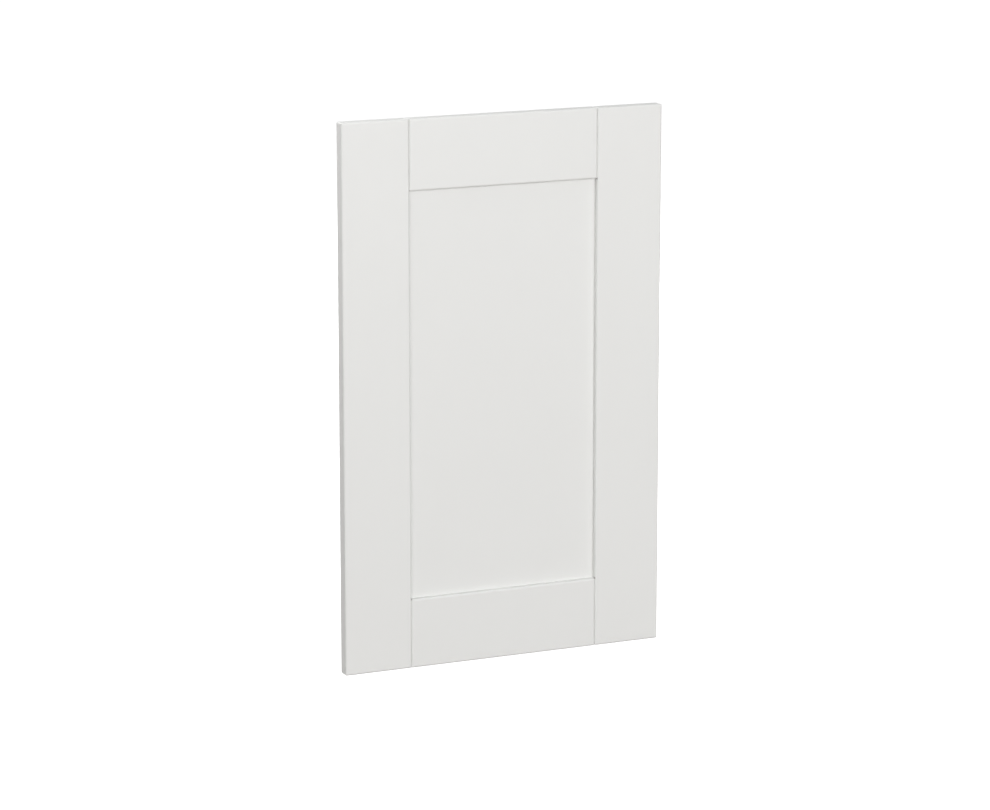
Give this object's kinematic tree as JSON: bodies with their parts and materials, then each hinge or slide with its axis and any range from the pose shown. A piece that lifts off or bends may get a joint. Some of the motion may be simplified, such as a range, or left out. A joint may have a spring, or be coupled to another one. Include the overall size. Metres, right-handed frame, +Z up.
{
  "type": "kitchen cabinet door",
  "caption": "Upright frame-and-panel cabinet door with a flat recessed panel, eased edges that make fine grooves at the joints, and cup hinge bores in the back.",
  "frame": {"origin": "middle of the door's bottom edge, half way through its thickness", "axes": "+X to the right as seen from the front, +Y out of the back of the door, +Z up; the front faces -Y"},
  "size_m": [0.446, 0.018, 0.716],
  "materials": {
    "satin_paint": "fibreboard, sprayed with a pale warm grey satin paint on every face",
    "satin_paint_panel": "thin fibreboard, sprayed with the same pale warm grey satin paint",
    "beech": "plain turned beech, glued in"
  },
  "bodies": {
    "root": {"left_stile": "satin_paint", "right_stile": "satin_paint", "top_rail": "satin_paint", "bottom_rail": "satin_paint", "centre_panel": "satin_paint_panel", "joint_dowels": "beech"}
  },
  "joints": []
}
